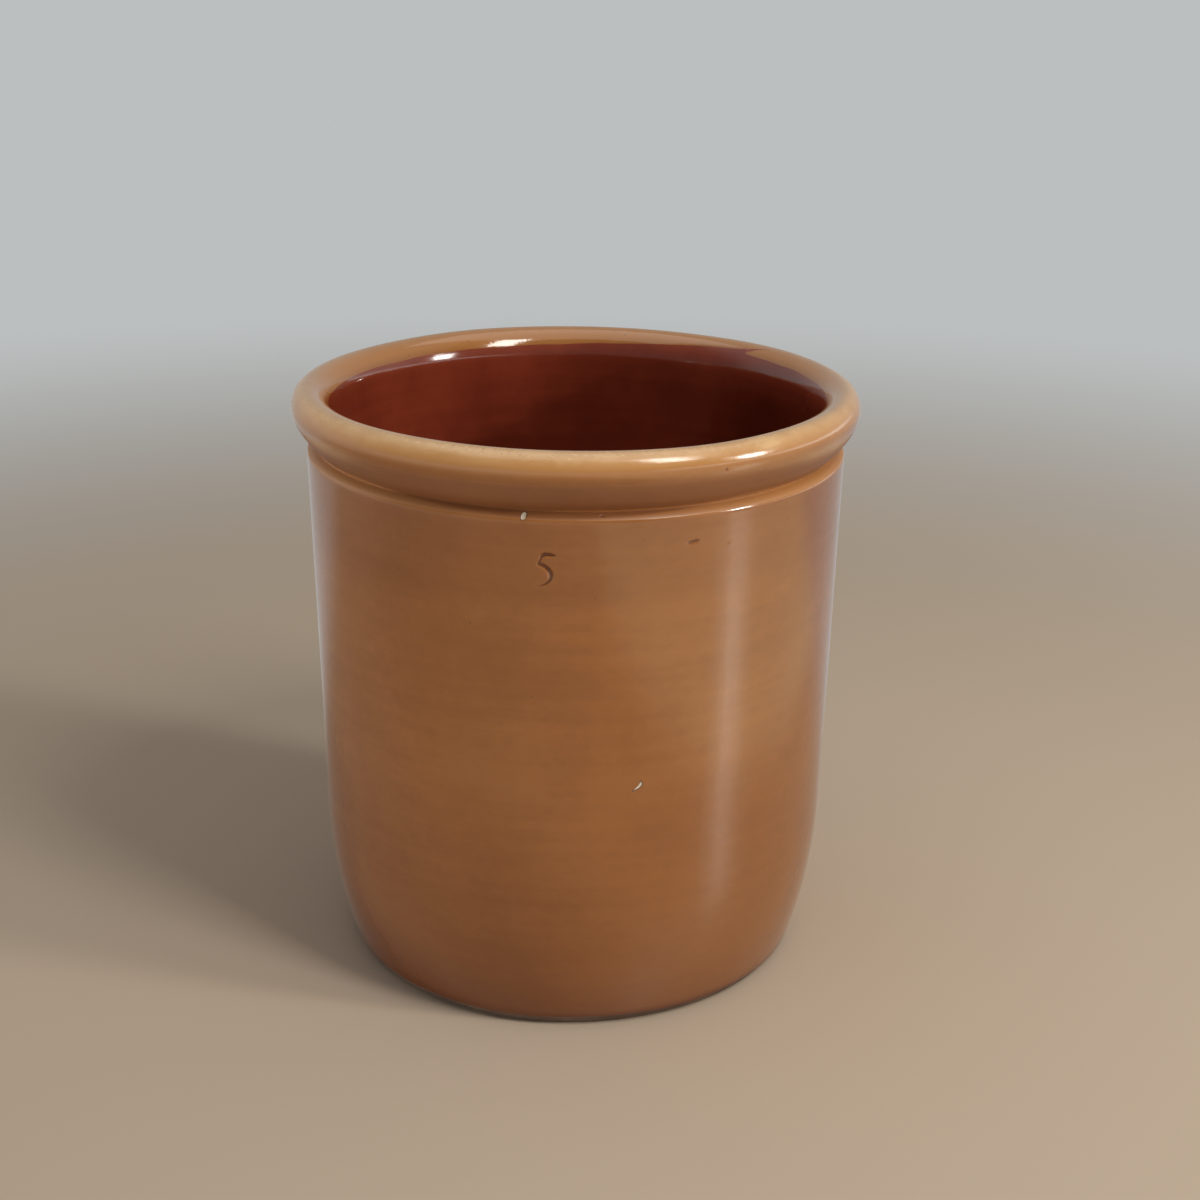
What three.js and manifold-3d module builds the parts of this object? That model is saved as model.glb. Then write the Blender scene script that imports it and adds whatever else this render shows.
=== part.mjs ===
// Preserving crock: a turned stoneware jar with a rolled rim over a tie groove, an ochre glaze outside,
// a red-brown glaze inside and the capacity numeral 5 stamped under the rim.
// Millimetres, +Z up. The origin is the centre of the foot, and the numeral faces -Y.
import * as THREE from "three";
import { mergeVertices } from "three/addons/utils/BufferGeometryUtils.js";
import Module from "manifold-3d";

// Body, outside of the glaze
const HEIGHT = 222; // foot to the crest of the rim
const SHOULDER_DIAMETER = 201; // top edge of the wall, under the tie groove
const HEEL_DIAMETER = 195; // where the straight wall ends
const HEEL_HEIGHT = 58; // foot to the end of the straight wall
const HEEL_KNEE = 30; // height where the wall and the line to the foot would cross
const FOOT_DIAMETER = 177.6; // just above the foot's rounded edge
const FOOT_EDGE = 4.5; // height of the foot's rounded edge
const BASE_DIAMETER = 169; // flat underside

// Rim and tie groove, measured down from the crest
const RIM_OVERHANG = 5; // rim past the shoulder
const RIM_ROUND = 5.8; // rim's widest point in to the crest
const RIM_CROWN = 7; // crest to the rim's widest level
const LIP_DROP = 12; // crest to where the lip has run into the inside wall
const BEAD_FULLNESS = 5.5; // how far down the rim's underside keeps its width
const GROOVE_DROP = 21.3; // crest to the deepest of the groove
const SHOULDER_DROP = 24.5; // crest to the shoulder
const GROOVE_DEPTH = 3.9; // groove in from the shoulder, along a straight ledge

// Inside
const WALL = 10; // wall with both glazes
const FLOOR = 11; // floor with its glaze
const INNER_HEEL = 28; // height and width of the curve from the wall to the floor

// Glazes
const GLAZE = 0.5; // thickness of each coat
const BOND = 0.05; // left open between a coat and the clay, so that they stay separate solids
const GLAZE_LINE = THREE.MathUtils.degToRad(151); // where the coats meet, round the lip from outside

// Stamped numeral
const NUMERAL_HEIGHT = 12;
const NUMERAL_WIDTH = 6.8;
const NUMERAL_STROKE = 1.3;
const NUMERAL_DEPTH = 0.9;
const NUMERAL_DROP = 40.5; // crest to the numeral's centre

const AROUND = 48; // facets round the body
const QUARTER = Math.PI / 2;

const RIM_WIDE_Z = HEIGHT - RIM_CROWN;
const LIP_Z = HEIGHT - LIP_DROP;
const SHOULDER_Z = HEIGHT - SHOULDER_DROP;

const manifold = await Module();
manifold.setup();
const { Manifold, Mesh } = manifold;

// Radius of the outer wall's straight line at a height.
function wallRadius(z) {
  const share = (z - HEEL_HEIGHT) / (SHOULDER_Z - HEEL_HEIGHT);
  return THREE.MathUtils.lerp(HEEL_DIAMETER, SHOULDER_DIAMETER, share) / 2;
}

const RIM_RADIUS = SHOULDER_DIAMETER / 2 + RIM_OVERHANG;
const CREST_RADIUS = RIM_RADIUS - RIM_ROUND;
const MOUTH_RADIUS = wallRadius(LIP_Z) - WALL;

// Points along a chain of curves, each given with its number of steps.
function trace(stretches) {
  const points = [stretches[0][0].getPoint(0)];
  for (const [curve, steps] of stretches) {
    points.push(...curve.getPoints(steps).slice(1));
  }
  return points;
}

function at(radius, z) {
  return new THREE.Vector2(radius, z);
}

// Rim's outer round from its widest point up to the crest.
function rimArc() {
  return new THREE.EllipseCurve(CREST_RADIUS, RIM_WIDE_Z, RIM_ROUND, RIM_CROWN, 0, QUARTER);
}

// Lip's longer round from the crest, at a quarter turn, down to the inside wall, at a half turn.
function lipArc(from, to) {
  return new THREE.EllipseCurve(CREST_RADIUS, LIP_Z, CREST_RADIUS - MOUTH_RADIUS, LIP_DROP, from, to);
}

// Outside section from the flat base up over the rim to the line where the coats meet.
function outerSection() {
  const base = at(BASE_DIAMETER / 2, 0);
  const foot = at(FOOT_DIAMETER / 2, FOOT_EDGE);
  const knee = at(wallRadius(HEEL_KNEE), HEEL_KNEE);
  const footLine = knee.clone().sub(foot);
  const footCorner = at(foot.x - (footLine.x * FOOT_EDGE) / footLine.y, 0);
  const heel = at(HEEL_DIAMETER / 2, HEEL_HEIGHT);
  const shoulder = at(SHOULDER_DIAMETER / 2, SHOULDER_Z);
  const groove = at(shoulder.x - GROOVE_DEPTH, HEIGHT - GROOVE_DROP);
  const wide = at(RIM_RADIUS, RIM_WIDE_Z);
  return trace([
    [new THREE.QuadraticBezierCurve(base, footCorner, foot), 3],
    [new THREE.QuadraticBezierCurve(foot, knee, heel), 4],
    [new THREE.LineCurve(heel, shoulder), 1],
    [new THREE.LineCurve(shoulder, groove), 1],
    [new THREE.QuadraticBezierCurve(groove, at(wide.x, wide.y - BEAD_FULLNESS), wide), 5],
    [rimArc(), 4],
    [lipArc(QUARTER, GLAZE_LINE), 4],
  ]);
}

// Inside section from the line where the coats meet down to the middle of the floor.
function innerSection() {
  const mouth = at(MOUTH_RADIUS, LIP_Z);
  const wallEnd = at(wallRadius(FLOOR + INNER_HEEL) - WALL, FLOOR + INNER_HEEL);
  const corner = at(wallRadius(FLOOR) - WALL, FLOOR);
  const floorEdge = at(corner.x - INNER_HEEL, FLOOR);
  return trace([
    [lipArc(GLAZE_LINE, Math.PI), 3],
    [new THREE.LineCurve(mouth, wallEnd), 1],
    [new THREE.QuadraticBezierCurve(wallEnd, corner, floorEdge), 4],
    [new THREE.LineCurve(floorEdge, at(0, FLOOR)), 1],
  ]);
}

// A section moved to its left, where the clay is, by a depth.
function moved(section, depth) {
  return section.map((point, i) => {
    const before = section[Math.max(i - 1, 0)];
    const after = section[Math.min(i + 1, section.length - 1)];
    const into = after.clone().sub(before).normalize();
    return at(point.x - into.y * depth, point.y + into.x * depth);
  });
}

// A section turned round the Z axis.
function turned(section) {
  return new THREE.LatheGeometry(section, AROUND).rotateX(QUARTER);
}

function toSolid(geometry) {
  const bare = geometry.clone();
  bare.deleteAttribute("normal");
  bare.deleteAttribute("uv");
  const merged = mergeVertices(bare, 1e-3);
  return new Manifold(
    new Mesh({
      numProp: 3,
      vertProperties: merged.getAttribute("position").array,
      triVerts: new Uint32Array(merged.index.array),
    }),
  );
}

function toGeometry(solid) {
  const mesh = solid.getMesh();
  const geometry = new THREE.BufferGeometry();
  geometry.setAttribute("position", new THREE.BufferAttribute(mesh.vertProperties, mesh.numProp));
  geometry.setIndex(new THREE.BufferAttribute(mesh.triVerts, 1));
  const flat = geometry.toNonIndexed();
  flat.computeVertexNormals();
  return flat;
}

// Centre lines of the numeral's flag, stem and bowl, seen from the front.
function numeralLines() {
  const x = (NUMERAL_WIDTH - NUMERAL_STROKE) / 2;
  const y = (NUMERAL_HEIGHT - NUMERAL_STROKE) / 2;
  const flagEnd = at(-0.4 * x, y);
  const stemEnd = at(-0.8 * x, 0.36 * y);
  const bowlTail = THREE.MathUtils.degToRad(-105);
  const bowl = new THREE.EllipseCurve(stemEnd.x, -0.32 * y, 1.65 * x, 0.68 * y, QUARTER, bowlTail, true);
  return [[flagEnd, at(x, y)], [flagEnd, stemEnd], bowl.getPoints(10)];
}

// Outline of a stroke along a centre line, with square ends that reach half a stroke past it.
function strokeShape(line, width) {
  const left = [];
  const right = [];
  line.forEach((point, i) => {
    const before = line[Math.max(i - 1, 0)];
    const after = line[Math.min(i + 1, line.length - 1)];
    const along = after.clone().sub(before).normalize().multiplyScalar(width / 2);
    const reach = i === 0 ? -1 : i === line.length - 1 ? 1 : 0;
    const end = point.clone().addScaledVector(along, reach);
    left.push(at(end.x - along.y, end.y + along.x));
    right.unshift(at(end.x + along.y, end.y - along.x));
  });
  return new THREE.Shape([...left, ...right]);
}

// The numeral as a solid that stands out of the front wall and reaches a depth into it.
function numeralSolid(width, depth) {
  const z = HEIGHT - NUMERAL_DROP;
  const proud = 2;
  const strokes = numeralLines().map((line) => {
    const options = { depth: depth + proud, bevelEnabled: false };
    const stroke = new THREE.ExtrudeGeometry(strokeShape(line, width), options);
    return toSolid(stroke.rotateX(QUARTER).translate(0, depth - wallRadius(z), z));
  });
  return Manifold.union(strokes);
}

const outer = outerSection();
const inner = innerSection();

// Fired clay: floor, wall and rim in one piece.
function clayBody() {
  const depth = GLAZE + BOND;
  const outside = moved(outer, depth);
  const inside = moved(inner, depth).slice(1);
  outside[0].y = 0;
  const seat = numeralSolid(NUMERAL_STROKE + 2 * depth, NUMERAL_DEPTH + depth);
  return toGeometry(toSolid(turned([at(0, 0), ...outside, ...inside])).subtract(seat));
}

// Ochre coat from the bare edge of the foot up the outside and over the rim, lining the numeral.
function outerGlaze() {
  const face = outer.slice(1);
  const back = moved(outer, GLAZE).slice(1).reverse();
  const shell = toSolid(turned([...face, ...back, face[0]]));
  const filled = toSolid(turned([at(0, face[0].y), ...face, at(0, face.at(-1).y)]));
  const lining = numeralSolid(NUMERAL_STROKE + 2 * GLAZE, NUMERAL_DEPTH + GLAZE).intersect(filled);
  return toGeometry(shell.add(lining).subtract(numeralSolid(NUMERAL_STROKE, NUMERAL_DEPTH)));
}

// Red-brown coat from the rim down the inside and over the floor.
function innerGlaze() {
  const back = moved(inner, GLAZE).reverse();
  back[back.length - 1] = moved(outer, GLAZE).at(-1);
  return turned([...back, ...inner]);
}

function piece(name, geometry, color, roughness) {
  const material = new THREE.MeshStandardMaterial({ color, roughness, metalness: 0 });
  const mesh = new THREE.Mesh(geometry, material);
  mesh.name = name;
  return mesh;
}

const crock = new THREE.Group();
crock.name = "preserving_crock";
crock.add(piece("clay_body", clayBody(), 0xc9b79c, 0.9));
crock.add(piece("outer_glaze", outerGlaze(), 0x9a6334, 0.25));
crock.add(piece("inner_glaze", innerGlaze(), 0x5e2415, 0.2));

export default crock;
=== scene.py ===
"""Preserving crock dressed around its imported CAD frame: stoneware glazed ochre outside and red-brown inside.

Shapes are worked out in millimetres and become metres when a mesh is made. +Z is up.
An azimuth is counted in degrees from the stamped numeral, which faces -Y, towards +X.
A place on the turned section is an arc length: from the edge of the base up the outside, over the rim and
down the inside to the middle of the floor.
"""

import math

import bpy
import numpy as np
from mathutils import Matrix, Vector


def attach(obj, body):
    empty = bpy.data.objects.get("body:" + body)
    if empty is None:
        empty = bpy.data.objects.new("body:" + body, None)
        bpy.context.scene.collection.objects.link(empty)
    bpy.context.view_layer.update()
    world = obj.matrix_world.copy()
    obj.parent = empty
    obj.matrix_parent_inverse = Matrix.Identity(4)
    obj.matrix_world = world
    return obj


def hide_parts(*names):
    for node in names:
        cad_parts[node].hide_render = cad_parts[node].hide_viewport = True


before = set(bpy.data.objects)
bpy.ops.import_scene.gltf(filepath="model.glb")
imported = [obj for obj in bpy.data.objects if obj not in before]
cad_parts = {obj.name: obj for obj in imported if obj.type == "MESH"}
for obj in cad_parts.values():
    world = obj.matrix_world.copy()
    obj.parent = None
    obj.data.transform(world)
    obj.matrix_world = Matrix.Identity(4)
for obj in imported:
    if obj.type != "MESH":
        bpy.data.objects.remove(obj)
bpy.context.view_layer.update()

# Sizes of the solids, in millimetres
HEIGHT = 222  # foot to the crest of the rim
SHOULDER_RADIUS = 100.5  # top edge of the wall, under the tie groove
HEEL_RADIUS = 97.5  # where the straight wall ends
HEEL_HEIGHT = 58  # foot to the end of the straight wall
HEEL_KNEE = 30  # height where the wall and the line to the foot would cross
FOOT_RADIUS = 88.8  # just above the foot's rounded edge
FOOT_EDGE = 4.5  # height of the foot's rounded edge
BASE_RADIUS = 84.5  # flat underside
RIM_OVERHANG = 5  # rim past the shoulder
RIM_ROUND = 5.8  # rim's widest point in to the crest
RIM_CROWN = 7  # crest to the rim's widest level
LIP_DROP = 12  # crest to where the lip has run into the inside wall
BEAD_FULLNESS = 5.5  # how far down the rim's underside keeps its width
GROOVE_DROP = 21.3  # crest to the deepest of the groove
SHOULDER_DROP = 24.5  # crest to the shoulder
GROOVE_DEPTH = 3.9  # groove in from the shoulder
WALL = 10  # wall with both glazes
FLOOR = 11  # floor with its glaze
INNER_HEEL = 28  # height and width of the curve from the wall to the floor
GLAZE = 0.5  # thickness of each coat
BOND = 0.05  # left open between a coat and the clay
NUMERAL_DROP = 40.5  # crest to the numeral's centre

RIM_WIDE_Z = HEIGHT - RIM_CROWN
LIP_Z = HEIGHT - LIP_DROP
SHOULDER_Z = HEIGHT - SHOULDER_DROP
NUMERAL_Z = HEIGHT - NUMERAL_DROP

# Sizes that only the dressed part has, in millimetres
RIDGE_ROUND = 2.0  # how far the wall's line carries on above the shoulder before the ledge turns in
SOFTENING = 0.35  # spread of the rounding of the section's corners
BARE_FOOT = 3.8  # height of the foot edge that the glaze leaves bare
BASE_HOLLOW = 0.5  # rise of the underside towards its middle
SEAT_DEPTH = 1.3  # extra depth of the clay behind the numeral
SEAT_SPREAD = 8  # how far round the numeral that depth reaches

# Steps of the meshes: columns in degrees, rows in millimetres
COLUMN_STEP = 2.8
MARK_COLUMN_STEP = 0.17
WALL_STEP = 1.6
MARK_STEP = 0.3
LEDGE_STEP = 0.35
BEAD_STEP = 0.8
LIP_STEP = 0.45
INSIDE_STEP = 2.2
HIDDEN_STEP = 5
HIDDEN_RIM_STEP = 1.5
HIDDEN_INSIDE_STEP = 6
CLAY_FOOT_STEP = 0.7
CLAY_RIM_STEP = 1.2
STEP_TOLERANCE = 0.01

# Stretches of finer rows, in millimetres
MARK_MARGIN = 0.3  # round each mark
LEDGE_BELOW, LEDGE_ABOVE = 2, 6  # under and over the shoulder
RIM_BELOW = 4  # under the shoulder, on hidden faces
LIP_LENGTH = 14  # down the inside
FOOT_LENGTH = 8  # up from the foot
INNER_HEEL_LENGTH = 60  # from the end of the inside wall over its curve
POLE_RADIUS = 4  # where the rings end before the axis

# Waves of the thrown wall: height, count round the body, millimetres up the section per radian, phase
WAVES = [(0.14, 3, 70, 0.4), (0.09, 5, -38, 2.1), (0.05, 9, 21, 1.0)]

# Line where the coats meet, as azimuth and degrees round the lip; the red runs up at the back right
LIP_LINE = [
    (0, 147),
    (60, 143),
    (98, 138),
    (125, 138),
    (136, 135),
    (138.7, 132),
    (139.3, 121),
    (147, 129),
    (155.5, 136),
    (164, 141),
    (173, 143.5),
    (188, 150),
    (270, 152),
    (320, 149),
    (360, 147),
]
LIP_REACH = 16  # millimetres over which the mesh rows follow that line

# Pointed run of red over the ochre: azimuths of its tip and root, degrees round the lip at its tip and
# from there to the upper and lower side of its root
TONGUE_TIP, TONGUE_ROOT = 132.8, 139.3
TONGUE_TIP_ANGLE = 106
TONGUE_UPPER, TONGUE_LOWER = 15, 27
TONGUE_START, TONGUE_END = 132.3, 140.5  # azimuths between which it is drawn
TONGUE_MESH = (131.5, 141.0, 0.3)  # azimuths and step of the fine columns there

# Band along the crest, worn and lightened as a painted highlight: millimetres below the crest, spread, and
# share with its change to the front
CREST_BAND_BELOW, CREST_BAND_SPREAD = 2.2, 3.1
CREST_BAND_SHARE, CREST_BAND_FRONT = 0.6, 0.35

# Patches of the rim, rubbed and with painted sheen: azimuth, half width in degrees, millimetres below the
# crest, half height, share
RUBBED_AND_SHEEN = [
    (3.5, 3.0, 3.0, 3.5, 1.5),
    (44.0, 5.0, 3.0, 3.5, 1.5),
    (64.0, 9.0, 13.0, 3.0, 0.4),
    (-52.0, 10.0, 14.0, 3.0, 0.4),
]

# Painted shade: darker glaze colour where shade falls, as shares and millimetres
# painted shade in the groove and under the bead
GROOVE_SHADE = 0.36
GROOVE_SHADE_DROP = 4  # how far under the groove it starts at the front
GROOVE_SHADE_RISE, GROOVE_SHADE_MOST = 13, 5.8  # how much higher it starts towards the sides, and at most
# painted shade on the wall under the rim's overhang: share, height where it starts, fade
UPPER_SHADE, UPPER_SHADE_Z, UPPER_SHADE_FADE = 0.2, 158, 18
# painted shade, darker towards the bottom and less on the lit right
LOW_SHADES = [(0.55, 130), (0.35, 40)]  # share at the foot and height where it ends
LOW_SHADE_SHARE, LOW_SHADE_RIGHT = 0.8, -0.35  # less of it to the right
# painted contact shadow along the bare foot
FOOT_SHADOW_LINE = 1.2  # thickness of the dark line at the bare foot

# Painted light: lighter glaze colour where light falls, as shares
BEAD_LIGHT, BEAD_LIGHT_FRONT = 0.78, 0.12
LEDGE_LIGHT, LEDGE_LIGHT_MOST = 0.15, 0.8
SIDE_LIGHT, LIT_Z = 0.15, 150
RAMP_LIGHT = 0.5

# Photograph's camera, fitted to the crock's outline, in millimetres and degrees
CAMERA_PLACE = (67.8, -690.8, 384.3)
CAMERA_TURN = 4.8
CAMERA_PITCH = 19.74
CAMERA_ROLL = 0.67
CAMERA_LENS = 57.0
CAMERA_SENSOR = 36
CAMERA_AZIMUTH = 5.6

# Linear colours
OCHRE_DEEP = (0.245, 0.082, 0.0175, 1)
OCHRE_LIGHT = (0.305, 0.110, 0.026, 1)
# painted shade colour of the ochre glaze
OCHRE_PAINTED_SHADE = (0.11, 0.022, 0.0005, 1)
# painted light colour of the ochre glaze
OCHRE_PAINTED_LIGHT = (0.44, 0.185, 0.045, 1)
# worn glaze with painted highlight and sheen
OCHRE_WEAR_AND_SHEEN = (0.66, 0.41, 0.19, 1)
RED_DEEP = (0.16, 0.0245, 0.011, 1)
RED_LIGHT = (0.25, 0.041, 0.018, 1)
RED_THIN = (0.24, 0.050, 0.017, 1)
CLAY_PALE = (0.62, 0.50, 0.36, 1)
CLAY_DARK = (0.42, 0.31, 0.20, 1)
IRON = (0.06, 0.022, 0.010, 1)
FLOOR_COLOUR = (0.66, 0.535, 0.41, 1)
FLOOR_GLOW_COLOUR = (1.0, 0.93, 0.54, 1)
BACKGROUND = (0.50, 0.52, 0.52, 1)
AMBIENT_COLOUR = (0.96, 0.98, 1.0, 1)

GLAZE_IOR = 1.7
GLAZE_BUMP = 0.00008  # metres
CLAY_BUMP = 0.0004

# Soft boxes: name, degrees to the right of the camera and up, metres away, size in metres, radiance, colour
SOFT_BOXES = [
    ("upper_box", 44, 48, 1.3, (0.25, 0.50), 14, (1.0, 0.96, 0.90)),
    ("side_box", 70, 18, 2.0, (0.38, 0.50), 12, (1.0, 0.98, 0.92)),
    ("window_box", 70, 18, 1.95, (0.20, 0.10), 125, (1.0, 0.96, 0.88)),
    ("top_box", 0, 90, 1.25, (1.4, 1.4), 0.8, (1.0, 1.0, 1.0)),
]
LAMP_AIM = 0.15  # metres above the floor

# World's light, which falls from low to high and is stronger on one side. A fade is a pair of values of a
# direction's X, Y or Z between which a level changes.
AMBIENT_FROM = (-0.85, -0.53, 0)
AMBIENT_NEAR, AMBIENT_FAR = 1.8, 0.2
AMBIENT_LOW, AMBIENT_HIGH = 4.8, 0.06
AMBIENT_FADE = (0.02, 0.16)
AMBIENT_UNDER = 0.12  # what is left of it below the floor
UNDER_FADE = (-0.05, -0.01)

# What the glaze mirrors of the world: darker in front, brighter on the right
FRONT_DIMMED = 0.75
FRONT_FADE, FRONT_FADE_Y = (-0.12, 0.04), (0.2, -0.4)
RIGHT_RAISED = 3.0
RIGHT_FADE, RIGHT_FADE_X = (0.16, 0.04), (0.45, 0.85)

# Floor, in metres
FLOOR_HALF = 20.0
FLOOR_SINK = 0.0001  # keeps it clear of the underside
FLOOR_ROUGHNESS = 0.4
FLOOR_IOR = 1.6
# glow of the floor that only reflections see: a painted reflection on the glaze
FLOOR_GLOW = 0.45
GLOW_SIDE = (1, -0.225, 0)  # across the right of the view
GLOW_FADE = (0.235, 0.34)
FLOOR_FADE = (0.35, 1.3)  # distances over which it turns into the background
WALL_FADE = (0.1, 0.3)  # the same for reflections of what is behind the crock


def smooth(value):
    """Smooth step from 0 to 1."""
    t = np.clip(value, 0, 1)
    return t * t * (3 - 2 * t)


def band(place, start, rise, end, fall):
    """1 from a start to an end, with a smooth rise after the one and a smooth fall before the other."""
    return smooth((place - start) / rise) * smooth((end - place) / fall)


def wall_radius(z):
    """Radius of the straight outer wall at a height."""
    share = (z - HEEL_HEIGHT) / (SHOULDER_Z - HEEL_HEIGHT)
    return HEEL_RADIUS + share * (SHOULDER_RADIUS - HEEL_RADIUS)


RIM_RADIUS = SHOULDER_RADIUS + RIM_OVERHANG
CREST_RADIUS = RIM_RADIUS - RIM_ROUND
MOUTH_RADIUS = wall_radius(LIP_Z) - WALL
INNER_WALL_END = (wall_radius(FLOOR + INNER_HEEL) - WALL, FLOOR + INNER_HEEL)


def bezier(*points):
    """Points along the curve of two, three or four control points."""
    t = np.linspace(0, 1, 80)[:, None]
    level = [np.array(point, float) * np.ones_like(t) for point in points]
    while len(level) > 1:
        level = [(1 - t) * a + t * b for a, b in zip(level, level[1:])]
    return level[0]


def rim_point(angle):
    """Radius and height on the rim, by degrees from its widest point over the crest to the inside wall."""
    a = np.radians(angle)
    inside = np.asarray(angle) > 90
    reach = np.where(inside, CREST_RADIUS - MOUTH_RADIUS, RIM_ROUND)
    level = np.where(inside, LIP_Z, RIM_WIDE_Z)
    return np.stack([CREST_RADIUS + reach * np.cos(a), level + (HEIGHT - level) * np.sin(a)], -1)


def section_points():
    """Half section from the base's edge up the outside, over the rim and down to the middle of the floor."""
    foot = np.array((FOOT_RADIUS, FOOT_EDGE))
    knee = np.array((wall_radius(HEEL_KNEE), HEEL_KNEE))
    foot_corner = (foot[0] - (knee - foot)[0] / (knee - foot)[1] * FOOT_EDGE, 0)
    heel = (HEEL_RADIUS, HEEL_HEIGHT)
    shoulder = (SHOULDER_RADIUS, SHOULDER_Z)
    ridge = (SHOULDER_RADIUS, SHOULDER_Z + RIDGE_ROUND)
    groove = (SHOULDER_RADIUS - GROOVE_DEPTH, HEIGHT - GROOVE_DROP)
    bead_low = (RIM_RADIUS, RIM_WIDE_Z - BEAD_FULLNESS)
    wide = (RIM_RADIUS, RIM_WIDE_Z)
    mouth = (MOUTH_RADIUS, LIP_Z)
    corner = (wall_radius(FLOOR) - WALL, FLOOR)
    floor_edge = (corner[0] - INNER_HEEL, FLOOR)
    stretches = [
        bezier((BASE_RADIUS, 0), foot_corner, foot),
        bezier(foot, knee, heel),
        bezier(heel, shoulder),
        bezier(shoulder, ridge, groove),
        bezier(groove, bead_low, wide),
        rim_point(np.linspace(0, 180, 160)),
        bezier(mouth, INNER_WALL_END),
        bezier(INNER_WALL_END, corner, floor_edge),
        bezier(floor_edge, (0, FLOOR)),
    ]
    return np.concatenate([stretch[1:] for stretch in stretches])


class Section:
    """A half section by arc length, with its sharp corners softened."""

    STEP = 0.1

    def __init__(self, points, softening):
        run = np.concatenate([[0], np.cumsum(np.hypot(*np.diff(points, axis=0).T))])
        self.s = np.arange(0, run[-1], self.STEP)
        even = [np.interp(self.s, run, points[:, i]) for i in (0, 1)]
        reach = int(4 * softening / self.STEP)
        weights = np.exp(-0.5 * (np.arange(-reach, reach + 1) * self.STEP / softening) ** 2)
        weights /= weights.sum()
        padded = [np.pad(line, reach, "reflect", reflect_type="odd") for line in even]
        self.r, self.z = [np.convolve(line, weights, "valid") for line in padded]
        self.length = self.s[-1]
        along = np.gradient(np.stack([self.r, self.z]), axis=1)
        along /= np.hypot(*along)
        self.out_r, self.out_z = along[1], -along[0]

    def at(self, s):
        """Radius and height at arc lengths."""
        return np.interp(s, self.s, self.r), np.interp(s, self.s, self.z)

    def outward(self, s):
        """Direction out of the clay at arc lengths, as radius and height."""
        return np.interp(s, self.s, self.out_r), np.interp(s, self.s, self.out_z)

    def nearest(self, point):
        """Arc length of the place nearest to a radius and height."""
        return self.s[np.argmin(np.hypot(self.r - point[0], self.z - point[1]))]

    def outside(self, z):
        """Arc length of a height on the outer face."""
        top = np.argmax(self.z)
        return np.interp(z, self.z[:top], self.s[:top])

    def on_rim(self, angles):
        """Arc lengths of degrees round the rim."""
        return np.array([self.nearest(point) for point in rim_point(angles)])


section = Section(section_points(), SOFTENING)
FOOT_LINE_S = section.outside(BARE_FOOT)
NUMERAL_S = section.outside(NUMERAL_Z)
SHOULDER_S = section.outside(SHOULDER_Z)
GROOVE_S = section.outside(HEIGHT - GROOVE_DROP)
WIDE_S = section.outside(RIM_WIDE_Z)
CREST_S = section.nearest((CREST_RADIUS, HEIGHT))
RIM_START_S = section.outside(SHOULDER_Z - RIM_BELOW)
INSIDE_END_S = section.length - POLE_RADIUS


def along_wall(azimuth):
    """Distance round the wall from the numeral, in millimetres."""
    return np.radians(azimuth) * SHOULDER_RADIUS


def stroke(points, widths, depths):
    """Round dabs close together along points: place round the wall, arc length, half width and depth."""
    share = np.linspace(0, 1, len(points))
    width = np.interp(share, np.linspace(0, 1, len(widths)), widths)
    depth = np.interp(share, np.linspace(0, 1, len(depths)), depths)
    return np.column_stack([points, width, depth])


def numeral_dabs():
    """The stamped 5 as a flag, a thin stem and a bowl, in millimetres from its centre."""
    flag = bezier((-1.7, 3.6), (-0.9, 5.4), (1.2, 4.5), (3.0, 4.7))
    stem = bezier((-1.7, 3.6), (-2.1, 2.8), (-2.3, 1.5))
    bowl_top = bezier((-2.3, 1.5), (-0.3, 1.0), (1.6, -0.7), (1.7, -2.3))
    bowl_end = bezier((1.7, -2.3), (1.8, -4.3), (0.2, -5.9), (-2.9, -6.2))
    strokes = [
        stroke(flag, (0.9, 1.3, 1.3, 0.8), (0.5, 0.65, 0.65, 0.25)),
        stroke(stem, (0.8, 0.9), (0.2, 0.3)),
        stroke(bowl_top, (1.1, 1.2, 1.15), (0.4, 0.65, 0.6)),
        stroke(bowl_end, (1.1, 0.9, 0.6), (0.6, 0.45, 0.1)),
    ]
    return np.concatenate(strokes) + (0, NUMERAL_S, 0, 0)


def nick_dabs(azimuth, z, points, widths, depths):
    """Dabs of a small mark, with points in millimetres from its middle."""
    place = (along_wall(azimuth), section.outside(z), 0, 0)
    return stroke(np.array(points, float), widths, depths) + place


def dents():
    """Marks that the glaze covers: the numeral, a short dash and small pits."""
    dash = bezier((-2.2, -0.2), (0, -0.3), (2.2, 0.4))
    return [
        numeral_dabs(),
        nick_dabs(28.7, 188.9, dash, (0.6, 1.0, 1.15, 0.6), (0.2, 0.3, 0.33, 0.22)),
        nick_dabs(36.5, 186.8, [(-0.4, 0), (0.4, 0.1)], (0.6, 0.6), (0.16, 0.16)),
        nick_dabs(10.7, 199.8, [(-0.3, 0), (0.3, 0.1)], (0.9, 0.8), (0.3, 0.3)),
        nick_dabs(33.6, 214.0, [(0, 0), (0.3, 0.1)], (0.9, 0.8), (0.3, 0.3)),
    ]


def chips():
    """Places where the glaze has flaked off: a comma on the wall and an oval in the groove."""
    comma = bezier((-1.9, -1.4), (0.4, -0.2), (1.3, 0.5), (0.8, 2.1))
    oval = bezier((-0.05, -0.9), (0.15, 0.9))
    return [
        nick_dabs(18.8, 101.0, comma, (0.4, 0.7, 0.8, 0.35), (0.3, 0.35, 0.35, 0.25)),
        nick_dabs(-4.3, 199.6, oval, (1.1, 1.15, 1.0), (0.35, 0.35, 0.35)),
    ]


def mark_span(mark, axis):
    """Lowest and highest place of a mark's dabs, round the wall (axis 0) or up the section (axis 1)."""
    margin = mark[:, 2] + MARK_MARGIN
    return (mark[:, axis] - margin).min(), (mark[:, axis] + margin).max()


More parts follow.
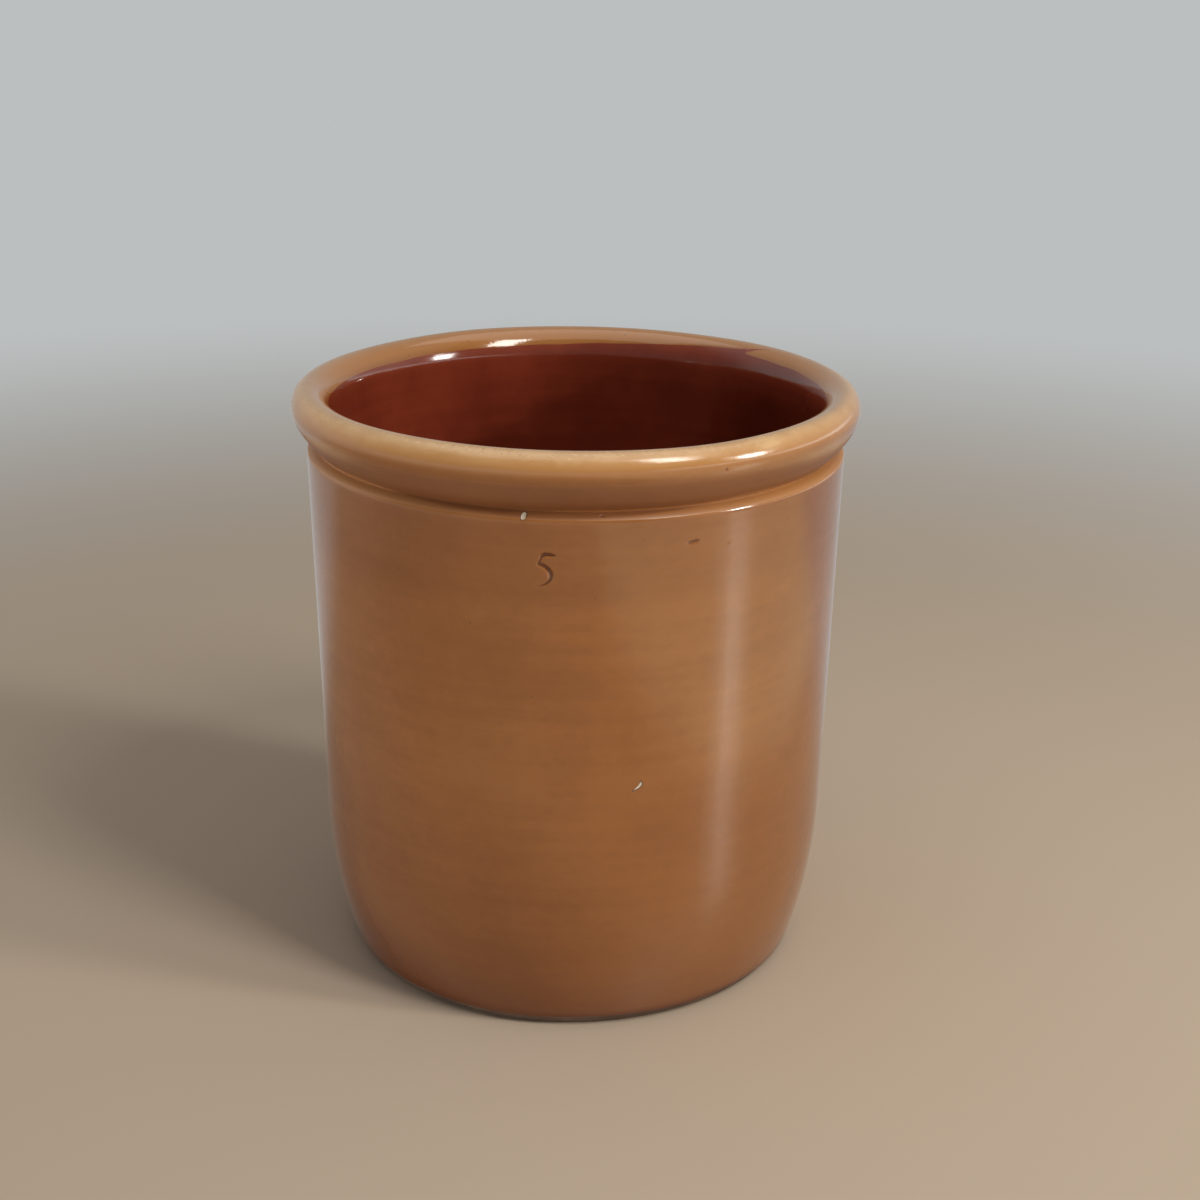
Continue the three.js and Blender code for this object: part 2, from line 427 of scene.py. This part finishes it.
def stations(low, high, coarse, windows):
    """Places from low to high, a coarse step apart, or inside a window (start, end, step) its own step."""
    places = [low]
    while places[-1] < high:
        here = places[-1]
        steps = [step for start, end, step in windows if start - here < STEP_TOLERANCE and here < end]
        ahead = [start - here for start, _, _ in windows if start - here >= STEP_TOLERANCE]
        places.append(here + min([coarse, *steps, *ahead]))
    places[-1] = high
    return np.array(places)


def columns():
    """Azimuths of the mesh columns, close together at the marks and at the run of red."""
    spans = [np.degrees(mark_span(mark, 0)) / SHOULDER_RADIUS for mark in DENTS + CHIPS]
    windows = [(low, high, MARK_COLUMN_STEP) for low, high in spans]
    return stations(-180, 180, COLUMN_STEP, [*windows, TONGUE_MESH])[:-1]


def lip_line():
    """Arc length where the two coats meet inside the rim, by column."""
    turn = np.mod(AZIMUTHS, 360)
    wander = 0.7 * np.sin(np.radians(11 * turn)) + 0.5 * np.sin(np.radians(23 * turn + 40))
    return section.on_rim(np.interp(turn, *np.transpose(LIP_LINE)) + wander)


DENTS = dents()
CHIPS = chips()
AZIMUTHS = columns()
ANGLES = np.radians(AZIMUTHS)
LINE_S = lip_line()
LINE_BASE = np.max(LINE_S)


def outer_rows():
    """Arc lengths of the outer coat's rows, close together at the marks, the groove, the rim and the foot."""
    ledge_low = section.outside(SHOULDER_Z - LEDGE_BELOW)
    ledge_high = section.outside(SHOULDER_Z + LEDGE_ABOVE)
    windows = [
        *[(*mark_span(mark, 1), MARK_STEP) for mark in DENTS + CHIPS],
        (ledge_low, ledge_high, LEDGE_STEP),
        (ledge_high, CREST_S, BEAD_STEP),
        (CREST_S, LINE_BASE, LIP_STEP),
        (FOOT_LINE_S, FOOT_LINE_S + FOOT_LENGTH, BEAD_STEP),
    ]
    return stations(FOOT_LINE_S, LINE_BASE, WALL_STEP, windows)


def pressed(rows, dabs, edge, lean):
    """Depth that dabs press in, deeper and with a steeper edge to the upper right as the lean says."""
    x = along_wall(AZIMUTHS)
    depth = np.zeros(rows.shape)
    for place, height, width, deep in dabs:
        across, up = x - place, rows - height
        tilt = 1 + lean * (0.5 * across + 0.87 * up) / width
        depth = np.maximum(depth, deep * tilt * smooth((width - np.hypot(across, up)) * tilt / edge))
    return depth


def unevenness(rows):
    """How far the turned wall strays from its section: slow waves round the body and fine throwing rings."""
    waves = sum(height * np.sin(count * ANGLES + rows / run + phase) for height, count, run, phase in WAVES)
    wide_rings = 0.009 * np.sin(rows / 1.15 + 0.8 * np.sin(2 * ANGLES))
    narrow_rings = 0.006 * np.sin(rows / 0.71 + np.sin(3 * ANGLES + 1))
    radius = section.at(rows)[0]
    return (waves + (wide_rings + narrow_rings)) * smooth(rows / 14) * smooth(radius / 60)


def red_tongue(rows):
    """How far a place is inside the pointed run of red that reaches over the ochre at the back right."""
    share = np.clip((AZIMUTHS - TONGUE_TIP) / (TONGUE_ROOT - TONGUE_TIP), 0, 1)
    top = section.on_rim(TONGUE_TIP_ANGLE + TONGUE_UPPER * share)
    foot = section.on_rim(TONGUE_TIP_ANGLE + TONGUE_LOWER * share**1.3)
    middle, half = (top + foot) / 2, (foot - top) / 2 + 0.15
    within = smooth((half - np.abs(rows - middle)) / 0.5 + 0.5)
    return within * (AZIMUTHS > TONGUE_START) * (AZIMUTHS < TONGUE_END)


def placed(rows, depth):
    """Points of mesh rows (arc lengths, one row by column) at a depth under the section's surface."""
    r, z = section.at(rows)
    out_r, out_z = section.outward(rows)
    radius = r - out_r * depth
    return np.stack([radius * np.sin(ANGLES), -radius * np.cos(ANGLES), z - out_z * depth], -1)


def seat(rows):
    """Extra depth of the clay behind the stamped numeral."""
    near = np.hypot(along_wall(AZIMUTHS), rows - NUMERAL_S)
    return SEAT_DEPTH * np.exp(-0.5 * (near / SEAT_SPREAD) ** 2)


def shifted(base, end, amount, reach):
    """Rows by column, each moved by the column's amount at the end and less and less away from it."""
    share = smooth(1 - np.abs(base - end) / reach)
    return base[:, None] + share[:, None] * amount[None, :]


def ring_faces(rings, count, closed):
    """Quads between rings of count points each, and from the last ring to the first where they are closed."""
    ring = np.arange(rings if closed else rings - 1)[:, None]
    here = np.arange(count)[None, :]
    after = (here + 1) % count
    low, high = ring * count, (ring + 1) % rings * count
    return np.stack([low + here, low + after, high + after, high + here], -1).reshape(-1, 4).tolist()


def make_piece(name, rings, poles, material, values):
    """A mesh of rings, closed or ended by two poles, with point values that its material reads."""
    count = rings.shape[1]
    points = rings.reshape(-1, 3)
    faces = ring_faces(len(rings), count, poles is None)
    if poles is not None:
        first_pole, last_pole, last = len(points), len(points) + 1, len(points) - count
        pairs = [(here, (here + 1) % count) for here in range(count)]
        faces += [(first_pole, after, here) for here, after in pairs]
        faces += [(last_pole, last + here, last + after) for here, after in pairs]
        points = np.concatenate([points, poles])
    mesh = bpy.data.meshes.new(name)
    mesh.from_pydata((points / 1000).tolist(), [], faces)
    for title, value in values.items():
        full = np.zeros(len(points), np.float32)
        full[: value.size] = value.ravel()
        mesh.attributes.new(title, "FLOAT", "POINT").data.foreach_set("value", full)
    mesh.shade_smooth()
    mesh.set_sharp_from_angle(angle=math.radians(50))
    mesh.materials.append(material)
    piece = bpy.data.objects.new(name, mesh)
    bpy.context.scene.collection.objects.link(piece)
    return piece


class Nodes:
    """The nodes of a material or a world, with short calls to add them."""

    def __init__(self, owner, place):
        owner.use_nodes = True
        self.tree = owner.node_tree
        self.place = self.add("ShaderNodeTexCoord").outputs[place]

    def feed(self, socket, value):
        """Links a node's output to a socket, or sets the socket's own value."""
        if isinstance(value, bpy.types.NodeSocket):
            self.tree.links.new(value, socket)
        else:
            socket.default_value = value

    def add(self, kind, inputs=None, **settings):
        """A new node with its inputs fed and its settings made."""
        made = self.tree.nodes.new(kind)
        for name, value in settings.items():
            setattr(made, name, value)
        for name, value in (inputs or {}).items():
            self.feed(made.inputs[name], value)
        return made

    def calc(self, operation, a, b):
        """One sum, product or the like of two values."""
        made = self.add("ShaderNodeMath", operation=operation)
        self.feed(made.inputs[0], a)
        self.feed(made.inputs[1], b)
        return made.outputs[0]

    def times(self, a, b):
        """Product of two values."""
        return self.calc("MULTIPLY", a, b)

    def total(self, *parts):
        """Sum of values, each times its weight."""
        made, *others = [self.times(value, weight) for value, weight in parts]
        for other in others:
            made = self.calc("ADD", made, other)
        return made

    def span(self, value, low, high, to_low=0.0, to_high=1.0):
        """A value's range from low to high as another range, smoothly and no further."""
        inputs = {"Value": value, 1: low, 2: high, 3: to_low, 4: to_high}
        return self.add("ShaderNodeMapRange", inputs, interpolation_type="SMOOTHSTEP").outputs[0]

    def along(self, direction):
        """How far a place or direction reaches along another direction."""
        made = self.add("ShaderNodeVectorMath", {0: self.place, 1: direction}, operation="DOT_PRODUCT")
        return made.outputs["Value"]

    def axes(self):
        """X, Y and Z of the place or direction."""
        return self.add("ShaderNodeSeparateXYZ", {0: self.place}).outputs

    def blend(self, share, a, b):
        """A share of the second of two shaders over the first."""
        return self.add("ShaderNodeMixShader", {0: share, 1: a, 2: b}).outputs[0]


class Graph(Nodes):
    """A material with its nodes."""

    def __init__(self, name):
        self.material = bpy.data.materials.new(name)
        super().__init__(self.material, "Object")
        self.shader = self.tree.nodes["Principled BSDF"]

    def noise(self, scale, detail, roughness=0.55):
        """Noise of the object's own coordinates, with a scale per metre for each axis."""
        spread = self.add("ShaderNodeMapping", {"Vector": self.place, "Scale": scale}).outputs[0]
        inputs = {"Vector": spread, "Scale": 1.0, "Detail": detail, "Roughness": roughness}
        return self.add("ShaderNodeTexNoise", inputs).outputs["Fac"]

    def specks(self, scale, size, share):
        """Small round specks in a share of the cells of a Voronoi pattern."""
        cells = self.add("ShaderNodeTexVoronoi", {"Vector": self.place, "Scale": scale})
        dot = self.span(cells.outputs["Distance"], size, size * 0.5)
        pick = self.add("ShaderNodeSeparateColor", {"Color": cells.outputs["Color"]}).outputs[0]
        return self.times(dot, self.calc("LESS_THAN", pick, share))

    def value(self, name):
        """A value stored on the mesh points."""
        return self.add("ShaderNodeAttribute", attribute_name=name).outputs["Fac"]

    def mix(self, share, a, b):
        """A share of the second of two colours over the first."""
        made = self.add("ShaderNodeMix", data_type="RGBA")
        self.feed(made.inputs[0], share)
        self.feed(made.inputs[6], a)
        self.feed(made.inputs[7], b)
        return made.outputs[2]

    def bump(self, height, distance):
        """Fine unevenness of the surface, with the distance in metres for a height of 1."""
        inputs = {"Height": height, "Distance": distance, "Strength": 1.0}
        self.feed(self.shader.inputs["Normal"], self.add("ShaderNodeBump", inputs).outputs[0])

    def surface(self, **inputs):
        """Feeds the surface shader's sockets by name."""
        for name, value in inputs.items():
            self.feed(self.shader.inputs[name.replace("_", " ")], value)


def ochre_glaze():
    """Glossy ochre, cloudy and mottled, with painted shade and painted light, a crest worn and lightened as a
    painted highlight, bare chips and a run of red.
    """
    g = Graph("ochre_glaze")
    cloud = g.noise((15, 15, 19), 3)
    streak = g.noise((8, 8, 240), 4, 0.6)
    mottle = g.noise((230, 230, 300), 3, 0.6)
    tone = g.total((cloud, 0.6), (streak, 0.22), (mottle, 0.18))
    colour = g.mix(g.span(tone, 0.36, 0.64), OCHRE_DEEP, OCHRE_LIGHT)
    # painted light: bead, ledge, lit right side and lower edges of marks
    colour = g.mix(g.value("lightened"), colour, OCHRE_PAINTED_LIGHT)
    # painted shade: marks' upper edges, groove, upper wall, lower wall and foot
    colour = g.mix(g.times(g.value("painted_shade"), 0.95), colour, OCHRE_PAINTED_SHADE)
    colour = g.mix(g.times(g.specks(190, 0.07, 0.10), 0.7), colour, IRON)
    # worn crest and patches, with painted highlight and sheen
    patchy = g.noise((70, 70, 160), 4, 0.65)
    wear_and_sheen = g.times(g.value("crest_wear_and_sheen"), g.span(patchy, 0.34, 0.6, 0.65, 0.95))
    colour = g.mix(wear_and_sheen, colour, OCHRE_WEAR_AND_SHEEN)
    colour = g.mix(g.value("red"), colour, RED_LIGHT)
    bare = g.value("bare")
    colour = g.mix(g.span(bare, 0.02, 0.2), colour, IRON)
    colour = g.mix(g.span(bare, 0.5, 0.75), colour, CLAY_PALE)
    gloss = g.span(cloud, 0.3, 0.7, 0.07, 0.11)
    rough = g.calc("ADD", gloss, g.total((wear_and_sheen, 0.25), (g.value("dull"), 0.45), (bare, 0.6)))
    g.surface(Base_Color=colour, Roughness=rough, IOR=GLAZE_IOR)
    g.bump(g.total((streak, 0.5), (mottle, 0.5)), GLAZE_BUMP)
    return g.material


def red_brown_glaze():
    """Glossy dark red-brown, thinner and lighter at its upper edge."""
    g = Graph("red_brown_glaze")
    cloud = g.noise((26, 26, 20), 4, 0.6)
    streak = g.noise((10, 10, 160), 4, 0.6)
    tone = g.total((cloud, 0.7), (streak, 0.3))
    colour = g.mix(g.span(tone, 0.32, 0.68), RED_DEEP, RED_LIGHT)
    lightened = g.times(g.value("edge"), g.span(cloud, 0.3, 0.7, 0.2, 0.6))
    colour = g.mix(lightened, colour, RED_THIN)
    colour = g.mix(g.times(g.specks(160, 0.06, 0.08), 0.6), colour, IRON)
    g.surface(Base_Color=colour, Roughness=g.span(cloud, 0.3, 0.7, 0.07, 0.12), IOR=GLAZE_IOR)
    g.bump(streak, GLAZE_BUMP)
    return g.material


def bare_clay():
    """Matte buff stoneware with sand, iron specks, the arcs that a cutting wire leaves on the base and a dark
    foot edge of dirt and painted contact shadow.
    """
    g = Graph("bare_clay")
    cloud = g.noise((30, 30, 30), 4, 0.6)
    sand = g.noise((900, 900, 900), 3, 0.7)
    beside = g.add("ShaderNodeMapping", {"Vector": g.place, "Location": (0.11, 0.06, 0)}).outputs[0]
    wave = {"Vector": beside, "Scale": 75.0, "Distortion": 5.0, "Detail": 2.0, "Detail Scale": 0.5}
    arcs = g.add("ShaderNodeTexWave", wave, wave_type="RINGS", rings_direction="Z").outputs["Fac"]
    foot_dirt_and_shadow = g.value("foot_dirt_and_shadow")
    colour = g.mix(g.span(g.total((cloud, 0.7), (sand, 0.3)), 0.35, 0.65), CLAY_DARK, CLAY_PALE)
    # dark foot edge: dirt and painted contact shadow
    colour = g.mix(g.times(foot_dirt_and_shadow, g.span(cloud, 0.3, 0.6, 0.8, 0.95)), colour, IRON)
    colour = g.mix(g.specks(420, 0.16, 0.2), colour, IRON)
    g.surface(Base_Color=colour, Roughness=g.span(sand, 0.3, 0.7, 0.75, 0.95))
    wire = g.times(arcs, g.span(foot_dirt_and_shadow, 0.0, 0.6, 0.6, 0.0))
    g.bump(g.calc("ADD", wire, g.times(sand, 0.4)), CLAY_BUMP)
    return g.material


def rim_wear_and_sheen(rows):
    """Wear of the rim with painted highlight and sheen: a band along the crest, strongest at the front, and
    rubbed patches.
    """
    share = CREST_BAND_SHARE + CREST_BAND_FRONT * np.cos(ANGLES)
    wear_and_sheen = share * np.exp(-0.5 * ((rows - CREST_S + CREST_BAND_BELOW) / CREST_BAND_SPREAD) ** 2)
    for azimuth, width, below, height, strength in RUBBED_AND_SHEEN:
        across = (AZIMUTHS - azimuth) / width
        up = (rows - CREST_S + below) / height
        wear_and_sheen = np.maximum(wear_and_sheen, strength * np.exp(-(across**2) - up**2))
    return np.clip(wear_and_sheen, 0, 1)


def groove_shade_start():
    """Arc length where the groove's painted shade starts: on the ledge at the front, under the bead at the
    sides.
    """
    rise = np.clip(GROOVE_SHADE_RISE * np.sin(ANGLES) ** 2, 0, GROOVE_SHADE_MOST)
    return GROOVE_S - GROOVE_SHADE_DROP + rise


def painted_shade_map(rows, upper_edge_shade):
    """Painted shade: along the upper edges of marks, in the groove and under the bead, on the upper wall,
    darker towards the bottom of the lower wall, and a painted contact shadow at the bare foot.
    """
    groove = GROOVE_SHADE * band(rows, groove_shade_start(), 1.2, WIDE_S - 1, 5)
    upper = UPPER_SHADE * band(rows, section.outside(UPPER_SHADE_Z), UPPER_SHADE_FADE, SHOULDER_S + 1, 2)
    low = sum(share * smooth(1 - rows / section.outside(z)) for share, z in LOW_SHADES)
    low = low * (LOW_SHADE_SHARE + LOW_SHADE_RIGHT * np.sin(ANGLES))
    foot_shadow = np.exp(-(rows - FOOT_LINE_S) / FOOT_SHADOW_LINE)
    return np.clip(np.maximum(upper_edge_shade / 0.3, groove) + low + upper + foot_shadow, 0, 1)


def painted_light_map(rows, dent, upper_edge_shade):
    """Painted light: lighter glaze on the bead and the ledge where light falls from above, on the lit right
    side and on the lower edges of marks.
    """
    bead = band(rows, WIDE_S - 2, 5, LINE_S + 2.4, 6) * (BEAD_LIGHT + BEAD_LIGHT_FRONT * np.cos(ANGLES))
    ledge_share = np.clip(LEDGE_LIGHT + np.sin(ANGLES) ** 2, 0, LEDGE_LIGHT_MOST)
    ledge = ledge_share * band(rows, SHOULDER_S, 1.0, groove_shade_start() + 0.6, 1.2)
    lit = SIDE_LIGHT * smooth(1.4 * np.sin(ANGLES)) * smooth(1.2 - rows / section.outside(LIT_Z))
    ramp = RAMP_LIGHT * np.clip(dent / 0.2, 0, 1) * np.clip(1 - upper_edge_shade / 0.2, 0, 1)
    return np.maximum.reduce([bead, ledge, lit, ramp])


def outer_coat():
    """Ochre coat: a shell from the bare foot up the outside and over the rim, with marks pressed into it."""
    foot_drift = 0.35 * np.sin(4 * ANGLES + 0.5) + 0.25 * np.sin(9 * ANGLES)

    def drawn(base):
        """Rows by column that follow the lip line at one end and the uneven foot line at the other."""
        rows = shifted(base, LINE_BASE, LINE_S - LINE_BASE, LIP_REACH)
        return rows + shifted(base, FOOT_LINE_S, foot_drift, 6) - base[:, None]

    rows = drawn(outer_rows())
    rim_window = (RIM_START_S, LINE_BASE, HIDDEN_RIM_STEP)
    back = drawn(stations(FOOT_LINE_S, LINE_BASE, HIDDEN_STEP, [rim_window])[::-1])
    marks = np.concatenate(DENTS)
    # the dabs moved up, for painted shade along the upper edges of the marks
    upper_parts = marks + marks[:, 2:3] * (0.12, 0.3, -0.4, 0)
    dent = pressed(rows, marks, 0.8, 0.55)
    upper_edge_shade = pressed(rows, upper_parts, 0.35, 0)
    chip = pressed(rows, np.concatenate(CHIPS), 0.6, 0)
    front_points = placed(rows, dent + chip - unevenness(rows))
    back_points = placed(back, GLAZE + seat(back) - unevenness(back))
    # painted shade, painted light, and wear with painted sheen, for the glaze to read
    values = {
        "painted_shade": painted_shade_map(rows, upper_edge_shade),
        "dull": band(rows, SHOULDER_S + 0.85, 0.6, WIDE_S - 1, 5),
        "lightened": painted_light_map(rows, dent, upper_edge_shade),
        "bare": np.clip(chip / 0.3, 0, 1),
        "crest_wear_and_sheen": rim_wear_and_sheen(rows),
        "red": red_tongue(rows),
    }
    rings = np.concatenate([front_points, back_points])
    return make_piece("outer_glaze_coat", rings, None, ochre_glaze(), values)


def inner_coat():
    """Red-brown coat: a shell from the lip line down the inside and over the floor."""
    lip_end = LINE_BASE + LIP_LENGTH
    heel_s = section.nearest(INNER_WALL_END)
    windows = [(LINE_BASE, lip_end, BEAD_STEP), (heel_s, heel_s + INNER_HEEL_LENGTH, WALL_STEP)]
    base = stations(LINE_BASE, INSIDE_END_S, INSIDE_STEP, windows)
    back_window = (LINE_BASE, lip_end, HIDDEN_RIM_STEP)
    back_base = stations(LINE_BASE, INSIDE_END_S, HIDDEN_INSIDE_STEP, [back_window])
    front = shifted(base, LINE_BASE, LINE_S - LINE_BASE, LIP_REACH)
    back = shifted(back_base, LINE_BASE, LINE_S - LINE_BASE, LIP_REACH)
    front_points = placed(front, -unevenness(front))
    back_points = placed(back, GLAZE - unevenness(back))[::-1]
    poles = np.array([(0, 0, FLOOR - GLAZE), (0, 0, FLOOR)])
    values = {"edge": np.concatenate([np.zeros(back.shape), np.exp(-(front - LINE_S) / 3.0)])}
    rings = np.concatenate([back_points, front_points])
    return make_piece("inner_glaze_coat", rings, poles, red_brown_glaze(), values)


def clay_core():
    """Fired clay: the bare base and foot, and the hidden wall behind the two coats."""
    windows = [(0, FOOT_LENGTH, CLAY_FOOT_STEP), (RIM_START_S, CREST_S + LIP_LENGTH, CLAY_RIM_STEP)]
    rows = stations(0, INSIDE_END_S, HIDDEN_STEP, windows)[:, None] * np.ones(len(AZIMUTHS))
    wall = placed(rows, (GLAZE + BOND) * smooth(rows / 4) + seat(rows) - unevenness(rows))
    radii = np.linspace(POLE_RADIUS, BASE_RADIUS, 24)[:-1, None] * np.ones(len(AZIMUTHS))
    outward = radii / BASE_RADIUS
    hollow = BASE_HOLLOW * smooth(1.35 - 1.35 * outward)
    base = np.stack([radii * np.sin(ANGLES), -radii * np.cos(ANGLES), hollow], -1)
    poles = np.array([(0, 0, BASE_HOLLOW), (0, 0, FLOOR - GLAZE - BOND)])
    # dark foot edge and base rim: dirt and painted contact shadow
    foot_dirt_and_shadow = np.concatenate([smooth(12 * outward - 11), smooth((9 - rows) / 4)])
    return make_piece("clay_core", np.concatenate([base, wall]), poles, bare_clay(), {"foot_dirt_and_shadow": foot_dirt_and_shadow})


def dress(piece, node):
    """Puts a piece in the place of a CAD node."""
    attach(piece, "root")
    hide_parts(node)


def add_camera():
    """The camera that sees the crock as the photograph does."""
    data = bpy.data.cameras.new("camera")
    data.lens = CAMERA_LENS
    data.sensor_width = CAMERA_SENSOR
    data.clip_end = 100
    camera = bpy.data.objects.new("camera", data)
    turn = Matrix.Rotation(math.radians(CAMERA_TURN), 4, "Z")
    tilt = Matrix.Rotation(math.radians(90 - CAMERA_PITCH), 4, "X")
    roll = Matrix.Rotation(math.radians(CAMERA_ROLL), 4, "Z")
    camera.matrix_world = Matrix.Translation(Vector(CAMERA_PLACE) / 1000) @ turn @ tilt @ roll
    bpy.context.scene.collection.objects.link(camera)
    bpy.context.scene.camera = camera


def soft_box(name, azimuth, elevation, distance, size, radiance, colour):
    """A rectangular lamp aimed at the crock."""
    data = bpy.data.lights.new(name, "AREA")
    data.shape = "RECTANGLE"
    data.size, data.size_y = size
    data.energy = math.pi * radiance * size[0] * size[1]
    data.color = colour
    lamp = bpy.data.objects.new(name, data)
    a, e = math.radians(azimuth + CAMERA_AZIMUTH), math.radians(elevation)
    out = Vector((math.sin(a) * math.cos(e), -math.cos(a) * math.cos(e), math.sin(e)))
    lamp.location = Vector((0, 0, LAMP_AIM)) + out * distance
    lamp.rotation_euler = out.to_track_quat("Z", "Y").to_euler()
    lamp.visible_camera = False
    bpy.context.scene.collection.objects.link(lamp)


def add_world():
    """Light that is strongest near the floor, with a plain background for the camera and for reflections."""
    world = bpy.data.worlds.new("studio")
    bpy.context.scene.world = world
    w = Nodes(world, "Generated")
    axes = w.axes()

    def background(colour, strength):
        """An even light of one colour."""
        return w.add("ShaderNodeBackground", {"Color": colour, "Strength": strength}).outputs[0]

    height = w.span(axes["Z"], *AMBIENT_FADE, AMBIENT_LOW, AMBIENT_HIGH)
    under = w.span(axes["Z"], *UNDER_FADE, AMBIENT_UNDER, 1.0)
    side = w.span(w.along(AMBIENT_FROM), -1, 1, AMBIENT_FAR, AMBIENT_NEAR)
    light = background(AMBIENT_COLOUR, w.times(w.times(height, under), side))
    front = w.times(w.span(axes["Z"], *FRONT_FADE, 0.0, FRONT_DIMMED), w.span(axes["Y"], *FRONT_FADE_Y))
    right = w.times(w.span(axes["Z"], *RIGHT_FADE, 0.0, RIGHT_RAISED), w.span(axes["X"], *RIGHT_FADE_X))
    mirrored = background(BACKGROUND, w.calc("SUBTRACT", w.calc("ADD", right, 1.0), front))
    path = w.add("ShaderNodeLightPath").outputs
    glossy = w.calc("MAXIMUM", path["Is Glossy Ray"], path["Is Transmission Ray"])
    lit = w.blend(glossy, light, mirrored)
    shown = w.blend(path["Is Camera Ray"], lit, background(BACKGROUND, 1.0))
    w.feed(w.tree.nodes["World Output"].inputs["Surface"], shown)


def floor_material():
    """Plain matte floor that turns into the background; a glow on its right that only reflections see paints a
    brighter reflection, so the crock mirrors it brighter on the right.
    """
    g = Graph("floor")
    path = g.add("ShaderNodeLightPath").outputs
    glow = g.times(g.span(g.along(GLOW_SIDE), *GLOW_FADE, 0.0, FLOOR_GLOW), path["Is Glossy Ray"])
    g.surface(Base_Color=FLOOR_COLOUR, Roughness=FLOOR_ROUGHNESS, IOR=FLOOR_IOR)
    g.surface(Emission_Color=FLOOR_GLOW_COLOUR, Emission_Strength=glow)
    matte = g.add("ShaderNodeBsdfDiffuse", {"Color": FLOOR_COLOUR}).outputs[0]
    near = g.blend(path["Is Camera Ray"], g.shader.outputs[0], matte)
    plain = g.add("ShaderNodeEmission", {"Color": BACKGROUND, "Strength": 1.0}).outputs[0]
    distance = g.add("ShaderNodeVectorMath", {0: g.place}, operation="LENGTH").outputs["Value"]
    wall = g.times(g.span(g.axes()["Y"], *WALL_FADE), path["Is Glossy Ray"])
    shown = g.blend(g.calc("MAXIMUM", g.span(distance, *FLOOR_FADE), wall), near, plain)
    g.feed(g.tree.nodes["Material Output"].inputs["Surface"], shown)
    return g.material


def add_floor():
    """A wide floor that is no part of the object."""
    corners = [(-1, -1), (1, -1), (1, 1), (-1, 1)]
    mesh = bpy.data.meshes.new("floor")
    mesh.from_pydata([(x * FLOOR_HALF, y * FLOOR_HALF, 0) for x, y in corners], [], [(0, 1, 2, 3)])
    mesh.materials.append(floor_material())
    floor = bpy.data.objects.new("floor", mesh)
    floor.location.z = -FLOOR_SINK
    bpy.context.scene.collection.objects.link(floor)


add_camera()
dress(clay_core(), "clay_body")
dress(outer_coat(), "outer_glaze")
dress(inner_coat(), "inner_glaze")
for box in SOFT_BOXES:
    soft_box(*box)
add_world()
add_floor()
bpy.context.scene.view_settings.view_transform = "Standard"
